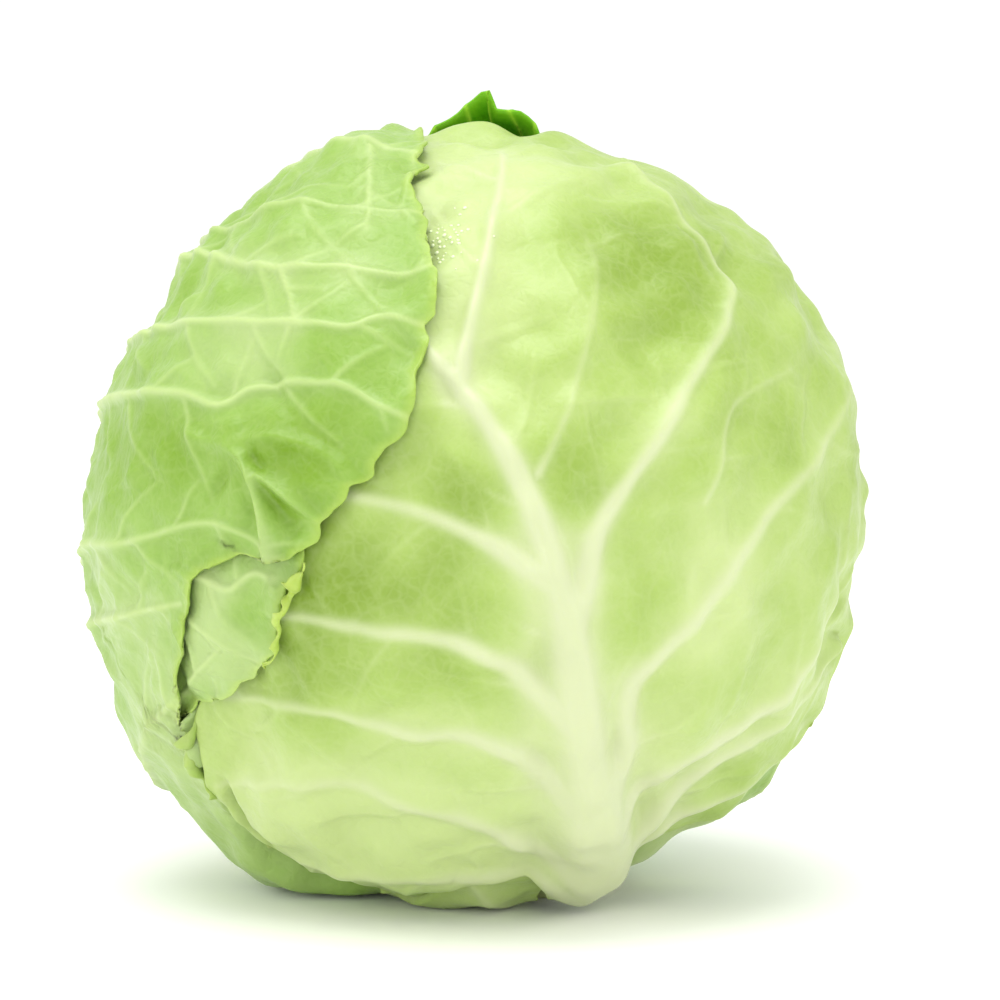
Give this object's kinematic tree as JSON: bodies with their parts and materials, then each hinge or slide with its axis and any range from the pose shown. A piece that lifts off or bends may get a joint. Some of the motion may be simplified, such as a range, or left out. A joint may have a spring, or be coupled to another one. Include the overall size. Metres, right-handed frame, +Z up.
{
  "type": "cabbage head",
  "caption": "Round head of pale green cabbage with overlapping ribbed leaves wrapped round a cut stem, standing on the stem's cut face.",
  "frame": {"origin": "centre of the stem's cut face, which lies on the surface that the head stands on", "axes": "+Z up, the front of the head with the forked midrib faces -Y, +X to the right seen from the front; the head's own axis leans 11 degrees towards -X"},
  "size_m": [0.1791, 0.179, 0.1848],
  "materials": {
    "pale_leaf": "waxy, pale green with near-white ribs",
    "green_leaf": "waxy, fresh green with pale veins",
    "dark_leaf": "waxy, darker green with pale veins",
    "inner_leaf": "smooth, cream to pale yellow-green",
    "stem_flesh": "matt, moist, freshly cut"
  },
  "bodies": {
    "root": {"front_leaf": "pale_leaf", "base_leaf": "pale_leaf", "left_leaf": "green_leaf", "left_under_leaf": "green_leaf", "right_leaf": "green_leaf", "back_leaf": "dark_leaf", "inner_leaf_1": "inner_leaf", "inner_leaf_2": "inner_leaf", "inner_leaf_3": "inner_leaf", "inner_leaf_4": "inner_leaf", "inner_leaf_5": "inner_leaf", "inner_leaf_6": "inner_leaf", "heart": "inner_leaf", "stem": "stem_flesh"}
  },
  "joints": []
}
